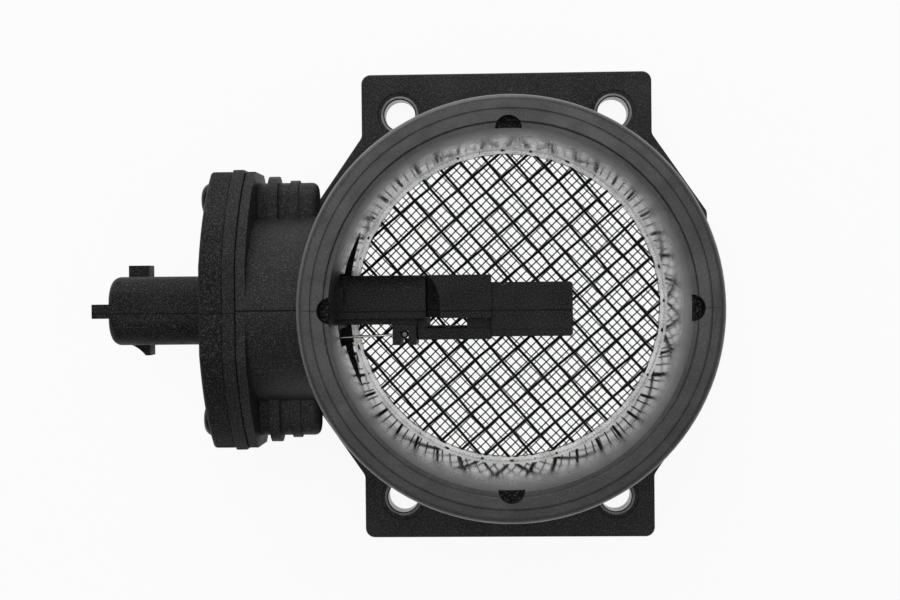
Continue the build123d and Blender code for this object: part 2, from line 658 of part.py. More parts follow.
def thermistor_place():
    """Centre of the glass bead, in the notch of its post."""
    return Vector(POST_X, COVER_FACE_Y - POST_DEPTH + POST_NOTCH_DEPTH - BEAD_GLASS_D / 2, LEAD_Z)


def thermistor_bead():
    """Glass bead with rounded ends, lying across both leads."""
    place = thermistor_place()
    bead = Cylinder(BEAD_GLASS_D / 2, BEAD_GLASS_LENGTH)
    return Pos(*place) * fillet(bead.edges().filter_by(GeomType.CIRCLE), BEAD_GLASS_D / 4)


def thermistor_leads():
    """Two bare wires from the plug to the bead."""
    bead = thermistor_place()
    leads = Part()
    for z in lead_heights():
        start = Vector(PLUG_END_X, LEAD_ROOT_Y, z)
        run = Vector(bead.X - BEAD_GLASS_D / 2, bead.Y, z) - start
        leads += extrude(Plane(origin=start, z_dir=run) * Circle(LEAD_D / 2), run.length)
    return leads


def terminal_heights():
    """Heights of the contact blades, spread about the module's axis."""
    first = MODULE_Z - TERMINAL_PITCH * (TERMINAL_COUNT - 1) / 2
    return [first + i * TERMINAL_PITCH for i in range(TERMINAL_COUNT)]


def terminal(z):
    """Flat contact blade with a tapered tip, from the socket to the circuit."""
    start = SHROUD_END_X + TERMINAL_SETBACK
    shoulder = start + TERMINAL_TIP
    half = TERMINAL_WIDTH / 2
    upper = ((start, half / 2), (shoulder, half), (TERMINAL_END_X, half))
    lower = [(x, -height) for x, height in reversed(upper)]
    blade = extrude(make_face(Polyline(*upper, *lower, close=True)), TERMINAL_THICKNESS / 2, both=True)
    return Pos(0, 0, z) * Rot(90, 0, 0) * blade


def latch(side):
    """Lug on one side of the shroud: square on the far side of Y, and a ramp on the near side."""
    start = SHROUD_END_X + LATCH_INSET
    face = SHROUD_WIDTH / 2
    z_range = (MODULE_Z - LATCH_WIDTH / 2, MODULE_Z + LATCH_WIDTH / 2)
    if side > 0:
        return block((start, start + LATCH_LENGTH), (0, face + LATCH_RISE), z_range)
    outline = Polyline((start + RAMP_LENGTH, -face - LATCH_RISE), (start + LATCH_LENGTH, -face - LATCH_RISE))
    outline += Polyline((start + LATCH_LENGTH, -face - LATCH_RISE), (start + LATCH_LENGTH, 0), (start, 0))
    outline += Line((start, 0), (start, -face))
    outline += SagittaArc((start, -face), (start + RAMP_LENGTH, -face - LATCH_RISE), LATCH_RISE / 8)
    return Pos(0, 0, z_range[0]) * extrude(make_face(outline), LATCH_WIDTH)


def connector_cap():
    """Third moulding: cap plate, socket shroud with its lugs and key, and slots for the blades."""
    plate = prism_along_x(pad_section(), CAP_X, CARRIER_X)
    cap = fillet(plate.faces().sort_by(Axis.X)[0].edges(), CAP_EDGE_R)
    outline = RectangleRounded(SHROUD_WIDTH, SHROUD_HEIGHT, SHROUD_CORNER_R)
    shroud = prism_along_x(outline, SHROUD_END_X, CAP_X)
    shroud = fillet(shroud.faces().sort_by(Axis.X)[0].edges(), SHROUD_MOUTH_R)
    cap += shroud + latch(1) + latch(-1)
    key_top = MODULE_Z + SHROUD_HEIGHT / 2
    key_z = (key_top - KEY_THICKNESS, key_top)
    cap += block((SHROUD_END_X - KEY_LENGTH, SOCKET_FLOOR_X), (-KEY_WIDTH / 2, KEY_WIDTH / 2), key_z)
    inner_width = SHROUD_WIDTH - 2 * SHROUD_WALL
    inner_height = SHROUD_HEIGHT - 2 * SHROUD_WALL
    socket = RectangleRounded(inner_width, inner_height, SHROUD_CORNER_R - SHROUD_WALL)
    cap -= prism_along_x(socket, SHROUD_END_X, SOCKET_FLOOR_X)
    for z in terminal_heights():
        half = TERMINAL_WIDTH / 2
        slot_y = (-TERMINAL_THICKNESS / 2, TERMINAL_THICKNESS / 2)
        cap -= block((SOCKET_FLOOR_X, CARRIER_X), slot_y, (z - half, z + half))
    for y in mirrored_pair(SCREW_SPACING):
        cap -= prism_along_x(Pos(y, 0) * Circle(SCREW_D / 2), CAP_X, CARRIER_X)
    return cap


def cap_screw(y):
    """Domed screw with a six-lobed recess, standing on the cap."""
    top_x = CAP_X - SCREW_HEAD_HEIGHT
    end_x = PAD_BACK_X + SCREW_DEPTH_IN_BOSS
    head = Pos(y, 0) * Circle(SCREW_D / 2 + SCREW_HEAD_OVERHANG)
    screw = prism_along_x(head, top_x, CAP_X)
    dome = SCREW_HEAD_HEIGHT - SCREW_HEAD_BAND
    screw = fillet(screw.faces().sort_by(Axis.X)[0].edges(), dome)
    shank = prism_along_x(Pos(y, 0) * Circle(SCREW_D / 2), CAP_X, end_x)
    screw += chamfer(shank.faces().sort_by(Axis.X)[-1].edges(), SCREW_POINT, SCREW_D / 4)
    lobe_r = (SCREW_RECESS_D - SCREW_RECESS_LOBE_D) / 2
    recess = Circle(lobe_r) + PolarLocations(lobe_r, 6) * Circle(SCREW_RECESS_LOBE_D / 2)
    return screw - prism_along_x(Pos(y, 0) * recess, top_x, top_x + SCREW_RECESS_DEPTH)


def cap_screws():
    """Both screws of the module."""
    upper, lower = mirrored_pair(SCREW_SPACING)
    return cap_screw(upper) + cap_screw(lower)


def build():
    """Every piece of the sensor, by the name of its node."""
    pieces = {
        "housing": housing(),
        "mounting_bushes": mounting_bushes(),
        "flange_seal": flange_seal(),
        "coarse_screen": screen(COARSE_TOP_Z, COARSE_WIRE_D, COARSE_PITCH, COARSE_ANGLE),
        "screen_spacer": screen_spacer(),
        "fine_screen": screen(FINE_TOP_Z, FINE_WIRE_D, FINE_PITCH, FINE_ANGLE, FINE_COUNT_PER_RIDGE),
        "screen_retainer": screen_retainer(),
        "sensor_body": sensor_body(),
        "plug_seal": plug_seal(),
        "electronics_cover": electronics_cover(),
        "channel_cover": channel_cover(),
        "base_plate": base_plate(),
        "hybrid_circuit": hybrid_circuit(),
        "flow_element": flow_element(),
        "thermistor_bead": thermistor_bead(),
        "thermistor_leads": thermistor_leads(),
        "connector_cap": connector_cap(),
        "cap_screws": cap_screws(),
    }
    for number, z in enumerate(terminal_heights(), start=1):
        pieces[f"terminal_{number}"] = terminal(z)
    return pieces


os.makedirs("parts", exist_ok=True)
for name, piece in build().items():
    export_step(piece, f"parts/{name}.step")
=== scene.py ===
"""Looks of the mass airflow sensor: softened mouldings, woven screens, materials, light and camera.

Lengths are in metres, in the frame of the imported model. Z is the axis of the air tube, with the hose end up,
and the connector points to -X.
"""

import math
import random

import bmesh
import bpy
from mathutils import Euler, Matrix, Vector


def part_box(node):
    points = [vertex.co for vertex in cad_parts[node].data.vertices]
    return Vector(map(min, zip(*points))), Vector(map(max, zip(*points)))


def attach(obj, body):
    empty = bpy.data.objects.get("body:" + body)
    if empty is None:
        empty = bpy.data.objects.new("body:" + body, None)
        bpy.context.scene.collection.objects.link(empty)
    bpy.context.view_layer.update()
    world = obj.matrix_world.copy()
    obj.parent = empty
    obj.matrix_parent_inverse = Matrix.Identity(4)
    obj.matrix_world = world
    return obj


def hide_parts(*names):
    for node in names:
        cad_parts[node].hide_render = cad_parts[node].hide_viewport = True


bl_info = {
    "name": "Mass airflow sensor",
    "version": (1, 0, 0),
    "blender": (4, 5, 0),
    "location": "View3D > Sidebar > Airflow sensor",
    "description": "Dresses the mass airflow sensor with woven screens, moulded plastics and studio light",
    "category": "Object",
}

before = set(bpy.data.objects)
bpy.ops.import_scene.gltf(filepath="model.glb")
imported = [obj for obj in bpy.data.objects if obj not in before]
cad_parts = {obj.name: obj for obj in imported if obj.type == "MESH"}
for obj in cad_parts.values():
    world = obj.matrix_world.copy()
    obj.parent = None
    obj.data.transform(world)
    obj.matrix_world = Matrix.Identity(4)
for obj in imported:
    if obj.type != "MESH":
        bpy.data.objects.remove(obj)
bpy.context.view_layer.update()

MM = 0.001
BODY = "root"

# Merging and softening of the mouldings
MERGE_DISTANCE = 0.002 * MM
FLAT_ANGLE = math.radians(0.5)
EDGE_ANGLE = math.radians(32)
SHADE_ANGLE = math.radians(50)

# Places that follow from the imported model
HOUSING_LOW, HOUSING_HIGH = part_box("housing")
SCREEN_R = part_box("coarse_screen")[1].y
TUBE_TOP = HOUSING_HIGH.z

# Air tube. Depths are counted down from the hose end, and the bead is painted paler from HIGHLIGHT_R outwards,
# a painted highlight on its round edge
BORE_R = 36.2 * MM
MOUTH_DEPTH = 0.7 * MM
BORE_WORN_DEPTH = 26.0 * MM
BEAD_DEPTH = 8.6 * MM
BEAD_R = 42.8 * MM
HIGHLIGHT_R = 41.9 * MM
NOTCH_END_R = 38.6 * MM
NOTCH_DEPTH = 3.5 * MM
REGION_SLACK = 0.15 * MM

# Places of the finishes in the housing's list of materials
GRAINED, POLISHED, MOUTH_PAINTED_PALE, NOTCH_SHADE = range(4)

# Plug-in module: its axis, and the planes where the housing's pad, the carrier and the cap meet
CAP_LOW, CAP_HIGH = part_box("connector_cap")
MODULE_Z = (CAP_LOW.z + CAP_HIGH.z) / 2
SEAM_PLANES = (HOUSING_LOW.x, CAP_HIGH.x)
SEAM_SLACK = 0.05 * MM
PLUG_REACH = 18.5 * MM
SCREW_Y = 24.0 * MM
SCREW_REACH = 3.2 * MM

# Parting lines of the moulds, on planes across Y, with the width that lets them show as a step and a painted
# shadow
HOUSING_PARTING_Y = 0.0
CAP_PARTING_Y = -0.5 * MM
PARTING_WIDTH = 0.3 * MM
PARTING_STEP = 0.05 * MM

# How far the middle wires of each screen's two families lie from the tube's axis, and how unevenly they lie
COARSE_SHIFTS = (0.254 * MM, 0.113 * MM)
FINE_SHIFTS = (-0.736 * MM, -0.372 * MM)
WIRE_WANDER = 0.05
WEAVE_SEED = 7

# Steps round each screen's rim, and the groove in its top, from the rim's inner edge outwards
RIM_STEPS = 96
RIM_GROOVE_START = 0.55 * MM
RIM_GROOVE_END = 0.85 * MM
RIM_GROOVE_DEPTH = 0.25 * MM

# Camera of the photograph: its place, its small turns and its focal length in picture widths
CAMERA_PLACE = Vector((-2.80, 5.16, 332.28)) * MM
CAMERA_TURNS = (math.radians(0.677), math.radians(-1.885), math.radians(0.534))
FOCAL_SHARE = 1389.5 / 900
SENSOR_WIDTH = 36.0

# Light table: half its side, and how much of it glows and how strongly. Lamps, and the point they face
TABLE_HALF = 4.0
GLOW_SHARE = 0.9
GLOW_STRENGTH = 1.02
LAMP_TARGET = Vector((0, 0, 0.03))
WINDOW_LAMP = {"place": Vector((-0.36, 1.05, 0.42)), "width": 1.0, "height": 0.4, "power": 4.5}
CEILING_LAMP = {"place": Vector((-0.05, 0.25, 1.4)), "width": 0.9, "height": 0.9, "power": 4.0}


def hex_colour(code):
    """Linear colour with full alpha from an sRGB hex value."""
    channels = [((code >> shift) & 255) / 255 for shift in (16, 8, 0)]
    linear = [c / 12.92 if c <= 0.04045 else ((c + 0.055) / 1.055) ** 2.4 for c in channels]
    return (*linear, 1.0)


def colour_property(name, description, code):
    """Colour that a user can change in the panel."""
    return bpy.props.FloatVectorProperty(
        name=name,
        description=description,
        default=hex_colour(code),
        size=4,
        subtype="COLOR",
        min=0.0,
        max=1.0,
    )


def length_property(name, description, value):
    """Length that a user can change in the panel."""
    return bpy.props.FloatProperty(
        name=name,
        description=description,
        default=value,
        min=0.0,
        unit="LENGTH",
        subtype="DISTANCE",
        precision=5,
    )


def angle_property(name, description, value):
    """Angle that a user can change in the panel."""
    return bpy.props.FloatProperty(
        name=name, description=description, default=value, subtype="ANGLE", unit="ROTATION"
    )


class SensorSizes(bpy.types.PropertyGroup):
    """Sizes of the woven screens and of the fine rounding of edges."""

    coarse_wire: length_property("Coarse wire", "Diameter of the coarse screen's wire", 0.65 * MM)
    coarse_pitch: length_property("Coarse pitch", "Spacing of the coarse screen's wires", 4.633 * MM)
    coarse_turn: angle_property("Coarse turn", "Direction of the coarse screen's wires", math.radians(40.67))
    fine_wire: length_property("Fine wire", "Diameter of the fine screen's wire", 0.3 * MM)
    fine_pitch: length_property("Fine pitch", "Spacing of the fine screen's wires", 1.673 * MM)
    fine_turn: angle_property("Fine turn", "Direction of the fine screen's wires", math.radians(44.27))
    rim_width: length_property("Screen rim", "Width of the pressed rim of each screen", 3.0 * MM)
    edge_round: length_property("Edge rounding", "Rounding of the mouldings' edges", 0.22 * MM)
    seam_round: length_property("Seam rounding", "Rounding where the module's plates meet", 0.32 * MM)
    small_edge_round: length_property("Small edge rounding", "Rounding of edges on small pieces", 0.12 * MM)


class SensorColours(bpy.types.PropertyGroup):
    """Colours of the plastics, metals and other materials."""

    housing: colour_property("Housing", "Black glass-filled nylon of the housing", 0x2F2F30)
    # Painted sheen: the mouth is painted paler than the housing, for the light that the near ring catches
    mouth: colour_property("Mouth", "The same nylon where the hose has rubbed it grey", 0x414142)
    # Painted highlight: pale grey for the bead's round outer edge, where it catches light
    edge_highlight: colour_property("Rubbed edge", "The bead's outer edge, rubbed palest by the hose", 0x8C8C8D)
    # Painted shade: near black for the notches, standing in for the shade in these recesses
    notch_shade_colour: colour_property("Soil", "The same nylon under oily dust", 0x0E0E0E)
    module: colour_property("Module", "Black polyester of the plug, the arm and its covers", 0x2A2A2B)
    cap: colour_property("Cap", "Blacker polyester of the connector cap", 0x1B1B1C)
    fleck: colour_property("Glass fleck", "Glass fibres just under the plastic's skin", 0x808082)
    rubber: colour_property("Rubber", "Black nitrile rubber", 0x121212)
    # Painted shade: the wire is painted dark for the shade of wires lit only from behind
    screen_wire: colour_property("Screen wire", "Stainless wire of the screens", 0x262627)
    zinc: colour_property("Zinc", "Zinc-plated sleeves in the flange, dulled by age", 0x626261)
    bright_steel: colour_property("Bright steel", "Stainless retaining ring and screen rims", 0xCFCFCE)
    black_steel: colour_property("Black steel", "Blackened screws", 0x2B2B2C)
    tin: colour_property("Tin", "Tinned wire and contact blades", 0xD6D3CC)
    sheet_steel: colour_property("Sheet steel", "Plate under the circuit", 0xB9BABB)
    ceramic: colour_property("Ceramic", "Fired alumina of the circuit", 0xE4E0D6)
    silicon: colour_property("Silicon", "Hot-film chip", 0x4A5060)
    glass: colour_property("Bead glass", "Dark glass round the thermistor", 0x1E1A18)
    floor: colour_property("Floor", "White light table", 0xF6F6F6)


def sizes():
    """The user's sizes."""
    return bpy.context.scene.sensor_sizes


def colours():
    """The user's colours."""
    return bpy.context.scene.sensor_colours


def add_node(tree, kind, settings=None, inputs=None):
    """Adds a node, sets its attributes, and fills or links its inputs."""
    node = tree.nodes.new(kind)
    for name, value in (settings or {}).items():
        setattr(node, name, value)
    for name, value in (inputs or {}).items():
        if isinstance(value, bpy.types.NodeSocket):
            tree.links.new(value, node.inputs[name])
        else:
            node.inputs[name].default_value = value
    return node


def calculated(tree, operation, *values):
    """Result of one step of arithmetic on numbers or sockets."""
    return add_node(tree, "ShaderNodeMath", {"operation": operation}, dict(enumerate(values))).outputs[0]


def along_axis(tree, point, axis):
    """How far a point lies along X, Y or Z."""
    return add_node(tree, "ShaderNodeSeparateXYZ", inputs={"Vector": point}).outputs[axis]


def scaled(colour, factor):
    """Colour made darker or paler by a factor on each channel."""
    return tuple(min(1.0, channel * factor) for channel in colour[:3]) + (1.0,)


def new_material(name, shader_values):
    """Material with an empty tree apart from its shader, and the point on the object that patterns read."""
    material = bpy.data.materials.new(name)
    material.use_nodes = True
    tree = material.node_tree
    tree.nodes.clear()
    shader = add_node(tree, "ShaderNodeBsdfPrincipled", inputs=shader_values)
    add_node(tree, "ShaderNodeOutputMaterial", inputs={"Surface": shader.outputs["BSDF"]})
    point = add_node(tree, "ShaderNodeTexCoord").outputs["Object"]
    return material, tree, shader, point


def noise(tree, point, size, detail=3.0, stretch=(1.0, 1.0, 1.0)):
    """Cloudy pattern whose features are about size across, drawn out along an axis by a stretch below 1."""
    placed = add_node(tree, "ShaderNodeMapping", inputs={"Vector": point, "Scale": stretch})
    values = {"Vector": placed.outputs["Vector"], "Scale": 1 / size, "Detail": detail}
    return add_node(tree, "ShaderNodeTexNoise", inputs=values).outputs["Fac"]


def spread(tree, value, low, high, out_low, out_high):
    """Maps a stretch of a pattern's values onto another."""
    values = {"Value": value, "From Min": low, "From Max": high, "To Min": out_low, "To Max": out_high}
    return add_node(tree, "ShaderNodeMapRange", inputs=values).outputs["Result"]


def mixed(tree, share, first, second):
    """Mixes two colours by a share."""
    inputs = {0: share, 6: first, 7: second}
    return add_node(tree, "ShaderNodeMix", {"data_type": "RGBA"}, inputs).outputs[2]


def bumped(tree, height, depth, strength, below=None):
    """Normal of a surface that rises by depth with a pattern, over another bump if there is one."""
    values = {"Height": height, "Distance": depth, "Strength": strength}
    if below is not None:
        values["Normal"] = below
    return add_node(tree, "ShaderNodeBump", inputs=values).outputs["Normal"]


def parting_step(tree, point, y):
    """Height of a moulding's skin: 1 on the far side of its parting line, and 0 on the near side."""
    across = along_axis(tree, point, "Y")
    return spread(tree, across, y - PARTING_WIDTH / 2, y + PARTING_WIDTH / 2, 0.0, 1.0)


def painted_parting_shadow(tree, point, y, darkness):
    """Share of black along a moulding's parting line: a painted shadow of the step there."""
    on_line = calculated(tree, "COMPARE", along_axis(tree, point, "Y"), y, PARTING_WIDTH / 2)
    return spread(tree, on_line, 0.0, 1.0, 0.0, darkness)


def moulded_plastic(name, base, look, recolour=None):
    """Moulded, glass-filled plastic: spark-eroded grain, pale fibre flecks, patches of uneven gloss and a
    painted shadow along the parting line.

    look holds grain and depth (width and depth of the grain), fleck_size and fleck_share (of the fibres),
    patch_size, rough (from the glossiest to the dullest patch), level (of the gloss), parting (the y of the
    parting line) and line (how dark the painted shadow along that line is). recolour changes the colour by its
    place on the object.
    """
    material, tree, shader, point = new_material(name, {"IOR": 1.5, "Specular IOR Level": look["level"]})
    step = bumped(tree, parting_step(tree, point, look["parting"]), PARTING_STEP, 1.0)
    grain = noise(tree, point, look["grain"], 2.0)
    fine = noise(tree, point, look["grain"] / 3, 1.0)
    under = bumped(tree, grain, look["depth"], 0.9, step)
    normal = bumped(tree, fine, look["depth"] / 2, 0.8, under)
    fleck = spread(tree, noise(tree, point, look["fleck_size"], 2.0), 0.5, 0.74, 0.0, look["fleck_share"])
    patch = noise(tree, point, look["patch_size"], 4.0)
    shade = spread(tree, patch, 0.35, 0.65, 0.0, 0.55)
    shaded = mixed(tree, shade, base, scaled(base, 0.5))
    flecked = mixed(tree, fleck, shaded, tuple(colours().fleck))
    # Painted shadow: black along the parting line, for the shade under the step between the mould's halves
    line = painted_parting_shadow(tree, point, look["parting"], look["line"])
    colour = mixed(tree, line, flecked, (0.0, 0.0, 0.0, 1.0))
    if recolour is not None:
        colour = recolour(tree, point, colour)
    tree.links.new(colour, shader.inputs["Base Color"])
    tree.links.new(spread(tree, patch, 0.3, 0.7, *look["rough"]), shader.inputs["Roughness"])
    tree.links.new(normal, shader.inputs["Normal"])
    return material


def grained_nylon():
    """Housing outside: spark-eroded mould face, so satin and slightly gritty."""
    look = {
        "grain": 0.45 * MM,
        "depth": 0.08 * MM,
        "fleck_size": 0.27 * MM,
        "fleck_share": 0.48,
        "patch_size": 12 * MM,
        "rough": (0.38, 0.56),
        "level": 0.13,
        "parting": HOUSING_PARTING_Y,
        # How dark the painted shadow along the parting line is
        "line": 0.85,
    }
    return moulded_plastic("glass_filled_nylon_grained", tuple(colours().housing), look)


def polished_nylon():
    """Bore: polished core pin, so it mirrors the screens, hazy on its far side, where it is also painted paler
    as a painted sheen, and duller near the mouth.
    """
    base = tuple(colours().housing)
    material, tree, shader, point = new_material("glass_filled_nylon_polished", {"IOR": 1.5})
    swirl = noise(tree, point, 3.0 * MM, 4.0)
    speck = noise(tree, point, 0.6 * MM, 2.0)
    # Painted sheen: the wall is painted paler towards +Y, for the light on that side; the same share makes
    # that side hazier
    side = spread(tree, along_axis(tree, point, "Y"), -12 * MM, 30 * MM, 0.1, 1.0)
    haze_and_painted_sheen = calculated(tree, "MULTIPLY", side, spread(tree, swirl, 0.3, 0.7, 0.15, 0.6))
    colour = mixed(tree, haze_and_painted_sheen, base, tuple(colours().fleck))
    up = along_axis(tree, point, "Z")
    worn = spread(tree, up, TUBE_TOP - BORE_WORN_DEPTH, TUBE_TOP - MOUTH_DEPTH, 0.0, 0.34)
    rough = calculated(tree, "ADD", worn, spread(tree, haze_and_painted_sheen, 0.0, 1.0, 0.06, 0.3))
    rings = noise(tree, point, 0.9 * MM, 2.0, (0.02, 0.02, 1.0))
    under = bumped(tree, rings, 0.02 * MM, 0.6)
    tree.links.new(colour, shader.inputs["Base Color"])
    tree.links.new(rough, shader.inputs["Roughness"])
    tree.links.new(bumped(tree, speck, 0.006 * MM, 0.5, under), shader.inputs["Normal"])
    return material


def paint_edge_highlight(tree, point, colour):
    """Colour that turns pale towards the bead's outer edge: a painted highlight on its round."""
    flat = add_node(tree, "ShaderNodeMapping", inputs={"Vector": point, "Scale": (1.0, 1.0, 0.0)})
    off_axis = add_node(tree, "ShaderNodeVectorMath", {"operation": "LENGTH"}, {0: flat.outputs["Vector"]})
    # Painted highlight: paler towards the bead's outer edge, where its round catches light
    worn = spread(tree, off_axis.outputs["Value"], HIGHLIGHT_R, BEAD_R, 0.0, 0.7)
    return mixed(tree, worn, colour, tuple(colours().edge_highlight))


def turned_nylon():
    """Mouth and hose bead: worn smoother by the hose, and painted paler grey than the grained outside, a
    painted sheen for the light that the near ring catches.
    """
    look = {
        "grain": 0.7 * MM,
        "depth": 0.04 * MM,
        "fleck_size": 0.4 * MM,
        "fleck_share": 0.25,
        "patch_size": 5 * MM,
        "rough": (0.3, 0.45),
        "level": 0.5,
        "parting": HOUSING_PARTING_Y,
        "line": 0.0,
    }
    return moulded_plastic("glass_filled_nylon_mouth_painted_pale", tuple(colours().mouth), look, paint_edge_highlight)


def shaded_notch_nylon():
    """Notches in the mouth: never worn by the hose, so rough, and painted near black as painted shade of the
    recesses.
    """
    look = {
        "grain": 0.5 * MM,
        "depth": 0.12 * MM,
        "fleck_size": 0.5 * MM,
        "fleck_share": 0.5,
        "patch_size": 1.5 * MM,
        "rough": (0.6, 0.8),
        "level": 0.15,
        "parting": HOUSING_PARTING_Y,
        "line": 0.0,
    }
    return moulded_plastic("glass_filled_nylon_painted_notch_shade", tuple(colours().notch_shade_colour), look)


def matt_polyester(base):
    """Plug-in module: glass-filled polyester from a finely eroded mould, duller than the housing."""
    look = {
        "grain": 0.3 * MM,
        "depth": 0.06 * MM,
        "fleck_size": 0.25 * MM,
        "fleck_share": 0.45,
        "patch_size": 9 * MM,
        "rough": (0.42, 0.58),
        "level": 0.1,
        "parting": CAP_PARTING_Y,
        # How dark the painted shadow along the parting line is
        "line": 0.5,
    }
    return moulded_plastic("glass_filled_polyester_matt", tuple(base), look)


def nitrile_rubber():
    """Moulded seals: dull black, with a faint bloom."""
    values = {"IOR": 1.52, "Specular IOR Level": 0.35}
    material, tree, shader, point = new_material("nitrile_rubber_moulded", values)
    bloom = noise(tree, point, 3.0 * MM, 3.0)
    base = tuple(colours().rubber)
    colour = mixed(tree, spread(tree, bloom, 0.4, 0.75, 0.0, 0.25), base, tuple(colours().fleck))
    tree.links.new(colour, shader.inputs["Base Color"])
    tree.links.new(spread(tree, bloom, 0.3, 0.7, 0.6, 0.8), shader.inputs["Roughness"])
    tree.links.new(bumped(tree, noise(tree, point, 0.2 * MM), 0.01 * MM, 0.6), shader.inputs["Normal"])
    return material


def metal(name, colour, rough, grain, stretch=(1.0, 1.0, 1.0), depth=0.003 * MM):
    """Metal whose colour and gloss vary with a fine pattern, drawn out along the way it was worked."""
    material, tree, shader, point = new_material(name, {"Metallic": 1.0})
    marks = noise(tree, point, grain, 3.0, stretch)
    stain = noise(tree, point, 4.0 * MM, 2.0)
    stained = mixed(tree, spread(tree, stain, 0.35, 0.7, 0.0, 0.8), colour, scaled(colour, 0.6))
    tree.links.new(stained, shader.inputs["Base Color"])
    tree.links.new(spread(tree, marks, 0.3, 0.7, rough * 0.75, rough * 1.3), shader.inputs["Roughness"])
    tree.links.new(bumped(tree, marks, depth, 0.7), shader.inputs["Normal"])
    return material


def drawn_stainless():
    """Screen wire: drawn and woven, and painted dark grey for the shade of the backlit wires, with a soft
    shine.
    """
    return metal("stainless_steel_drawn", tuple(colours().screen_wire), 0.38, 0.15 * MM)


def turned_stainless():
    """Retaining ring and screen rims: turned bright, so they show as a pale line round the wires."""
    return metal("stainless_steel_turned", tuple(colours().bright_steel), 0.24, 0.2 * MM, (1.0, 1.0, 0.2))


def plated_zinc():
    """Sleeves in the flange: turned steel with dulled zinc, ringed by the tool."""
    return metal("steel_zinc_plated", tuple(colours().zinc), 0.3, 0.25 * MM, (0.1, 0.1, 1.0))


def blackened_steel():
    """Screws: phosphated black, slightly oily."""
    return metal("steel_blackened", tuple(colours().black_steel), 0.36, 0.12 * MM, depth=0.006 * MM)


def tinned_metal():
    """Thermistor wire and contact blades: bright tin over bronze."""
    return metal("bronze_tin_plated", tuple(colours().tin), 0.22, 0.1 * MM, (0.15, 1.0, 1.0))


def stamped_steel():
    """Plate under the circuit: rolled sheet, brushed along its length."""
    return metal("sheet_steel_rolled", tuple(colours().sheet_steel), 0.35, 0.2 * MM, (0.08, 1.0, 1.0))


def fired_alumina():
    """Circuit board: off-white ceramic with a grainy fired skin."""
    material, tree, shader, point = new_material("alumina_fired", {"IOR": 1.76, "Specular IOR Level": 0.4})
    grain = noise(tree, point, 0.25 * MM, 2.0)
    base = tuple(colours().ceramic)
    colour = mixed(tree, spread(tree, grain, 0.4, 0.7, 0.0, 1.0), base, scaled(base, 0.8))
    tree.links.new(colour, shader.inputs["Base Color"])
    tree.links.new(spread(tree, grain, 0.3, 0.7, 0.5, 0.7), shader.inputs["Roughness"])
    tree.links.new(bumped(tree, grain, 0.01 * MM, 0.5), shader.inputs["Normal"])
    return material


def polished_silicon():
    """Hot-film chip: mirror-like blue-grey wafer with a faint oxide tint."""
    material, tree, shader, point = new_material("silicon_polished", {"Metallic": 0.6, "IOR": 3.4})
    tint = noise(tree, point, 1.5 * MM, 1.0)
    base = tuple(colours().silicon)
    bluer = (base[0] * 0.7, base[1] * 0.9, base[2] * 1.3, 1.0)
    tree.links.new(mixed(tree, tint, base, bluer), shader.inputs["Base Color"])
    tree.links.new(spread(tree, tint, 0.3, 0.7, 0.08, 0.16), shader.inputs["Roughness"])
    return material


def fused_glass():
    """Thermistor bead: dark fused glass, smooth and slightly uneven."""
    values = {"IOR": 1.52, "Coat Weight": 0.5, "Coat Roughness": 0.05}
    material, tree, shader, point = new_material("glass_fused_dark", values)
    flow = noise(tree, point, 0.8 * MM, 2.0)
    base = tuple(colours().glass)
    colour = mixed(tree, spread(tree, flow, 0.5, 0.8, 0.0, 1.0), base, scaled(base, 2.5))
    tree.links.new(colour, shader.inputs["Base Color"])
    tree.links.new(spread(tree, flow, 0.3, 0.7, 0.1, 0.2), shader.inputs["Roughness"])
    tree.links.new(bumped(tree, flow, 0.04 * MM, 0.4), shader.inputs["Normal"])
    return material


def finished_piece(name, mesh, nodes, materials):
    """Links a mesh as a piece of the sensor that stands for CAD nodes."""
    piece = bpy.data.objects.new(name, mesh)
    bpy.context.scene.collection.objects.link(piece)
    for material in materials:
        mesh.materials.append(material)
    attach(piece, BODY)
    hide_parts(*nodes)
    return piece


def merged_copy(node):
    """Copy of a CAD node's mesh with its doubles merged and its flat faces whole."""
    shape = bmesh.new()
    shape.from_mesh(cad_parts[node].data)
    bmesh.ops.remove_doubles(shape, verts=shape.verts, dist=MERGE_DISTANCE)
    bmesh.ops.dissolve_limit(shape, angle_limit=FLAT_ANGLE, verts=shape.verts, edges=shape.edges)
    return shape


def soften(shape, width, is_chosen=None):
    """Rounds off the sharp edges of a shape, or the chosen ones among them."""
    sharp = [edge for edge in shape.edges if edge.calc_face_angle(0.0) > EDGE_ANGLE]
    if is_chosen is not None:
        sharp = [edge for edge in sharp if is_chosen(edge)]
    bmesh.ops.bevel(
        shape,
        geom=sharp,
        offset=width,
        offset_type="OFFSET",
        segments=2,
        profile=0.5,
        affect="EDGES",
        clamp_overlap=True,
        material=-1,
    )


def is_seam(edge):
    """True for an edge of a plate's outline where the pad, the carrier and the cap meet."""
    places = [vert.co for vert in edge.verts]
    if not any(all(abs(place.x - plane) < SEAM_SLACK for place in places) for plane in SEAM_PLANES):
        return False
    middle = (places[0] + places[1]) / 2
    height = middle.z - MODULE_Z
    off_plug = math.hypot(middle.y, height) > PLUG_REACH
    off_screws = math.hypot(abs(middle.y) - SCREW_Y, height) > SCREW_REACH
    return off_plug and off_screws


def shaded_mesh(shape, name):
    """Mesh with smooth faces, and sharp only where two faces meet at a real corner."""
    bmesh.ops.recalc_face_normals(shape, faces=shape.faces)
    for face in shape.faces:
        face.smooth = True
    mesh = bpy.data.meshes.new(name)
    shape.to_mesh(mesh)
    shape.free()
    if "custom_normal" in mesh.attributes:
        mesh.attributes.remove(mesh.attributes["custom_normal"])
    mesh.set_sharp_from_angle(angle=SHADE_ANGLE)
    return mesh


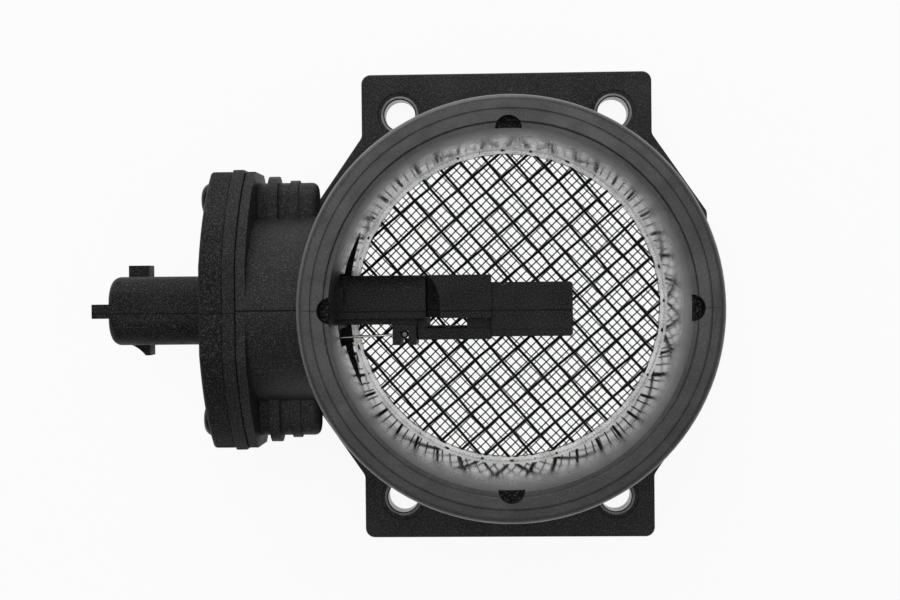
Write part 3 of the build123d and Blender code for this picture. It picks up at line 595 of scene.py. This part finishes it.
def keep_flats(piece):
    """Lets the large flat faces lead the shading of the rounded edges."""
    modifier = piece.modifiers.new("flat_faces", "WEIGHTED_NORMAL")
    modifier.keep_sharp = True
    modifier.weight = 80


def softened_piece(node, name, width, materials, choose=None):
    """Piece made from a merged, softened copy of a CAD node. choose gives a face's material by its place."""
    shape = merged_copy(node)
    soften(shape, sizes().seam_round, is_seam)
    soften(shape, width)
    if choose is not None:
        for face in shape.faces:
            face.material_index = choose(face)
    piece = finished_piece(name, shaded_mesh(shape, name), [node], materials)
    keep_flats(piece)
    return piece


def housing_region(face):
    """Finish of a housing's face: notches of the mouth, bore, mouth with bead, or the rest of the outside."""
    height = face.calc_center_median().z
    radius = sum(math.hypot(vert.co.x, vert.co.y) for vert in face.verts) / len(face.verts)
    in_notch = TUBE_TOP - NOTCH_DEPTH - REGION_SLACK < height < TUBE_TOP - MOUTH_DEPTH - REGION_SLACK
    # Notches of the mouth take the painted shade
    if in_notch and BORE_R + REGION_SLACK < radius < NOTCH_END_R:
        return NOTCH_SHADE
    if radius < BORE_R + REGION_SLACK and height < TUBE_TOP - MOUTH_DEPTH + REGION_SLACK:
        return POLISHED
    # Mouth and bead: worn smoother, and painted paler as a painted sheen
    if height > TUBE_TOP - BEAD_DEPTH and radius > BORE_R:
        return MOUTH_PAINTED_PALE
    return GRAINED


def wire_rows(reach, pitch, shift):
    """Places of one family's wires across the screen, as numbers of the rows that cross it."""
    first = math.ceil((-reach - shift) / pitch)
    last = math.floor((reach - shift) / pitch)
    return range(first, last + 1)


def weave(name, wire, pitch, turn, shifts, roundness, middle_z):
    """Two families of round wires that pass over and under each other inside a circle, as one mesh.

    turn is the direction of the first family. shifts are the places of both families' middle wires across
    them. roundness is the curve's bevel resolution.
    """
    reach = SCREEN_R - sizes().rim_width / 2
    wander = random.Random(WEAVE_SEED)
    curve = bpy.data.curves.new(name + "_wires", "CURVE")
    curve.dimensions = "3D"
    curve.bevel_depth = wire / 2
    curve.bevel_resolution = roundness
    curve.resolution_u = 3
    for family in (0, 1):
        angle = turn + family * math.pi / 2
        along = Vector((math.cos(angle), math.sin(angle), 0.0))
        across = Vector((-math.sin(angle), math.cos(angle), 0.0))
        crossing_shift = shifts[1 - family] * (1 if family else -1)
        for row in wire_rows(reach, pitch, shifts[family]):
            offset = row * pitch + shifts[family]
            half = math.sqrt(max(reach**2 - offset**2, 0.0))
            lean = wander.uniform(-WIRE_WANDER, WIRE_WANDER) * pitch
            stops = [(-half, 0.0, 0.0)]
            for step in wire_rows(half - wire, pitch, crossing_shift):
                side = 1 if (row + step + family) % 2 else -1
                bend = wander.uniform(-WIRE_WANDER, WIRE_WANDER) * pitch / 2
                stops.append((step * pitch + crossing_shift, lean + bend, side * wire))
            stops.append((half, 0.0, 0.0))
            spline = curve.splines.new("NURBS")
            spline.points.add(len(stops) - 1)
            for (reached, aside, rise), point in zip(stops, spline.points):
                place = across * (offset + aside) + along * reached
                point.co = (place.x, place.y, middle_z + rise, 1.0)
            spline.order_u = 3
            spline.use_endpoint_u = True
    holder = bpy.data.objects.new(name + "_wires", curve)
    bpy.context.scene.collection.objects.link(holder)
    bpy.context.view_layer.update()
    mesh = bpy.data.meshes.new_from_object(holder.evaluated_get(bpy.context.evaluated_depsgraph_get()))
    bpy.data.objects.remove(holder)
    bpy.data.curves.remove(curve)
    return mesh


def rim_profile(outer, inner, low, high):
    """Corners of a ring's section with a groove in its top, from its outer foot round."""
    groove_low = high - RIM_GROOVE_DEPTH
    return [
        Vector((outer, 0, low)),
        Vector((outer, 0, high)),
        Vector((inner + RIM_GROOVE_END, 0, high)),
        Vector((inner + RIM_GROOVE_END, 0, groove_low)),
        Vector((inner + RIM_GROOVE_START, 0, groove_low)),
        Vector((inner + RIM_GROOVE_START, 0, high)),
        Vector((inner, 0, high)),
        Vector((inner, 0, low)),
    ]


def spun(shape, points, steps):
    """Closed section swept once about Z."""
    verts = [shape.verts.new(point) for point in points]
    edges = [shape.edges.new((verts[i - 1], verts[i])) for i in range(len(verts))]
    bmesh.ops.spin(
        shape,
        geom=verts + edges,
        cent=(0, 0, 0),
        axis=(0, 0, 1),
        dvec=(0, 0, 0),
        angle=math.tau,
        steps=steps,
        use_merge=True,
        use_duplicate=False,
    )


def screen_piece(name, node, weave_sizes):
    """Woven screen with its bright pressed rim."""
    low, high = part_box(node)
    mesh = weave(name, *weave_sizes, (low.z + high.z) / 2)
    shape = bmesh.new()
    shape.from_mesh(mesh)
    wires = set(shape.faces)
    spun(shape, rim_profile(SCREEN_R, SCREEN_R - sizes().rim_width, low.z, high.z), RIM_STEPS)
    for face in shape.faces:
        face.material_index = 0 if face in wires else 1
    bpy.data.meshes.remove(mesh)
    finishes = [drawn_stainless(), turned_stainless()]
    return finished_piece(name, shaded_mesh(shape, name), [node], finishes)


class SENSOR_OT_housing(bpy.types.Operator):
    """Make the housing with softened edges, a polished bore and a rubbed mouth"""

    bl_idname = "sensor.housing"
    bl_label = "Housing"

    def execute(self, context):
        width = sizes().edge_round
        finishes = [grained_nylon(), polished_nylon(), turned_nylon(), shaded_notch_nylon()]
        softened_piece("housing", "housing_shell", width, finishes, housing_region)
        return {"FINISHED"}


class SENSOR_OT_bushes(bpy.types.Operator):
    """Make the four sleeves of the mounting holes"""

    bl_idname = "sensor.bushes"
    bl_label = "Sleeves"

    def execute(self, context):
        softened_piece("mounting_bushes", "sleeves", sizes().small_edge_round, [plated_zinc()])
        return {"FINISHED"}


class SENSOR_OT_screens(bpy.types.Operator):
    """Weave the coarse and the fine screen"""

    bl_idname = "sensor.screens"
    bl_label = "Woven screens"

    def execute(self, context):
        own = sizes()
        coarse = (own.coarse_wire, own.coarse_pitch, own.coarse_turn, COARSE_SHIFTS, 2)
        fine = (own.fine_wire, own.fine_pitch, own.fine_turn, FINE_SHIFTS, 1)
        screen_piece("woven_coarse_screen", "coarse_screen", coarse)
        screen_piece("woven_fine_screen", "fine_screen", fine)
        return {"FINISHED"}


class SENSOR_OT_rings(bpy.types.Operator):
    """Finish the spacer and the retaining ring of the screens"""

    bl_idname = "sensor.rings"
    bl_label = "Screen rings"

    def execute(self, context):
        width = sizes().small_edge_round
        softened_piece("screen_spacer", "spacer_ring", width, [polished_nylon()])
        softened_piece("screen_retainer", "retaining_ring", width, [turned_stainless()])
        return {"FINISHED"}


class SENSOR_OT_module(bpy.types.Operator):
    """Make the plug-in module: carrier, plug, arm and the two covers"""

    bl_idname = "sensor.module"
    bl_label = "Module"

    def execute(self, context):
        width = sizes().edge_round
        small_width = sizes().small_edge_round
        finish = [matt_polyester(colours().module)]
        softened_piece("sensor_body", "module_body", width, finish)
        softened_piece("electronics_cover", "circuit_cover", small_width, finish)
        softened_piece("channel_cover", "tip_cover", width, finish)
        return {"FINISHED"}


class SENSOR_OT_cap(bpy.types.Operator):
    """Make the connector cap and its screws"""

    bl_idname = "sensor.cap"
    bl_label = "Connector cap"

    def execute(self, context):
        finish = [matt_polyester(colours().cap)]
        softened_piece("connector_cap", "cap", sizes().edge_round, finish)
        softened_piece("cap_screws", "screws", sizes().small_edge_round, [blackened_steel()])
        return {"FINISHED"}


class SENSOR_OT_inner(bpy.types.Operator):
    """Finish the circuit, its plate, the chip, the thermistor, the contact blades and the seals"""

    bl_idname = "sensor.inner"
    bl_label = "Inner pieces"

    def execute(self, context):
        tin = tinned_metal()
        rubber = nitrile_rubber()
        finishes = {
            "base_plate": stamped_steel(),
            "hybrid_circuit": fired_alumina(),
            "flow_element": polished_silicon(),
            "thermistor_bead": fused_glass(),
            "thermistor_leads": tin,
            "flange_seal": rubber,
            "plug_seal": rubber,
        }
        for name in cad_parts:
            if name.startswith("terminal_"):
                finishes[name] = tin
        for name, material in finishes.items():
            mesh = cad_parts[name].data
            mesh.materials.clear()
            mesh.materials.append(material)
        return {"FINISHED"}


def soft_lamp(name, place, width, height, power):
    """Large soft lamp that faces the sensor."""
    light = bpy.data.lights.new(name, "AREA")
    light.shape = "RECTANGLE"
    light.size = width
    light.size_y = height
    light.energy = power
    lamp = bpy.data.objects.new(name, light)
    lamp.location = place
    lamp.rotation_euler = (LAMP_TARGET - place).to_track_quat("-Z", "Y").to_euler()
    bpy.context.scene.collection.objects.link(lamp)


def light_table():
    """White light table: seen as lit glass, and plain white to the light that falls on the sensor."""
    material = bpy.data.materials.new("light_table_glass")
    material.use_nodes = True
    tree = material.node_tree
    tree.nodes.clear()
    rays = add_node(tree, "ShaderNodeLightPath").outputs
    seen = calculated(tree, "MAXIMUM", rays["Is Camera Ray"], rays["Is Glossy Ray"])
    seen_or_through = calculated(tree, "MAXIMUM", seen, rays["Is Transmission Ray"])
    share = calculated(tree, "MULTIPLY", seen_or_through, GLOW_SHARE)
    white = add_node(tree, "ShaderNodeBsdfDiffuse", inputs={"Color": tuple(colours().floor)})
    lit = add_node(tree, "ShaderNodeEmission", inputs={"Strength": GLOW_STRENGTH})
    shaders = {0: share, 1: white.outputs["BSDF"], 2: lit.outputs["Emission"]}
    both = add_node(tree, "ShaderNodeMixShader", inputs=shaders)
    add_node(tree, "ShaderNodeOutputMaterial", inputs={"Surface": both.outputs["Shader"]})
    return material


def studio_world():
    """Studio: a wall that is pale low down and towards +Y, dim above, and a softly lit ceiling."""
    world = bpy.data.worlds.new("studio")
    world.use_nodes = True
    tree = world.node_tree
    tree.nodes.clear()
    direction = add_node(tree, "ShaderNodeTexCoord").outputs["Generated"]
    height = along_axis(tree, direction, "Z")
    pale = spread(tree, height, 0.04, 0.25, 0.6, 0.02)
    side = spread(tree, along_axis(tree, direction, "Y"), -0.6, 0.5, 0.04, 1.0)
    wall = calculated(tree, "MULTIPLY", pale, side)
    ceiling = spread(tree, height, 0.4, 1.0, 0.16, 0.4)
    light = {"Color": (1, 1, 1, 1), "Strength": calculated(tree, "ADD", wall, ceiling)}
    background = add_node(tree, "ShaderNodeBackground", inputs=light)
    add_node(tree, "ShaderNodeOutputWorld", inputs={"Surface": background.outputs["Background"]})
    bpy.context.scene.world = world


def photo_camera():
    """Camera at the place and angle of the photograph."""
    turn_x, turn_y, turn_z = CAMERA_TURNS
    camera = bpy.data.objects.new("camera", bpy.data.cameras.new("camera"))
    camera.data.sensor_width = SENSOR_WIDTH
    camera.data.lens = FOCAL_SHARE * SENSOR_WIDTH
    camera.data.clip_start = 1 * MM
    camera.location = CAMERA_PLACE
    camera.rotation_euler = Euler((-turn_x, -turn_y, -turn_z), "YXZ").to_matrix().to_euler("XYZ")
    bpy.context.scene.collection.objects.link(camera)
    bpy.context.scene.camera = camera


class SENSOR_OT_stage(bpy.types.Operator):
    """Set the light table, the lamps, the world and the camera"""

    bl_idname = "sensor.stage"
    bl_label = "Stage"

    def execute(self, context):
        shape = bmesh.new()
        bmesh.ops.create_grid(shape, x_segments=1, y_segments=1, size=TABLE_HALF)
        mesh = bpy.data.meshes.new("light_table")
        shape.to_mesh(mesh)
        shape.free()
        mesh.materials.append(light_table())
        table = bpy.data.objects.new("light_table", mesh)
        context.scene.collection.objects.link(table)
        soft_lamp("window_lamp", **WINDOW_LAMP)
        soft_lamp("ceiling_lamp", **CEILING_LAMP)
        studio_world()
        photo_camera()
        context.scene.view_settings.view_transform = "Standard"
        return {"FINISHED"}


class SENSOR_PT_panel(bpy.types.Panel):
    """Sizes, colours and makers of the sensor's pieces"""

    bl_label = "Mass airflow sensor"
    bl_idname = "SENSOR_PT_panel"
    bl_space_type = "VIEW_3D"
    bl_region_type = "UI"
    bl_category = "Airflow sensor"

    def draw(self, context):
        column = self.layout.column()
        for group in (context.scene.sensor_sizes, context.scene.sensor_colours):
            for name in group.__annotations__:
                column.prop(group, name)
        for operator in OPERATORS:
            column.operator(operator.bl_idname)


OPERATORS = (
    SENSOR_OT_housing,
    SENSOR_OT_bushes,
    SENSOR_OT_screens,
    SENSOR_OT_rings,
    SENSOR_OT_module,
    SENSOR_OT_cap,
    SENSOR_OT_inner,
    SENSOR_OT_stage,
)
CLASSES = (SensorSizes, SensorColours, *OPERATORS, SENSOR_PT_panel)


def register():
    """Registers the classes and gives the scene its sizes and colours."""
    for item in CLASSES:
        bpy.utils.register_class(item)
    bpy.types.Scene.sensor_sizes = bpy.props.PointerProperty(type=SensorSizes)
    bpy.types.Scene.sensor_colours = bpy.props.PointerProperty(type=SensorColours)


def unregister():
    """Takes back what register gave."""
    del bpy.types.Scene.sensor_colours
    del bpy.types.Scene.sensor_sizes
    for item in reversed(CLASSES):
        bpy.utils.unregister_class(item)


def main():
    """Makes every piece and the stage."""
    register()
    bpy.ops.sensor.housing()
    bpy.ops.sensor.bushes()
    bpy.ops.sensor.screens()
    bpy.ops.sensor.rings()
    bpy.ops.sensor.module()
    bpy.ops.sensor.cap()
    bpy.ops.sensor.inner()
    bpy.ops.sensor.stage()


if __name__ == "__main__":
    main()
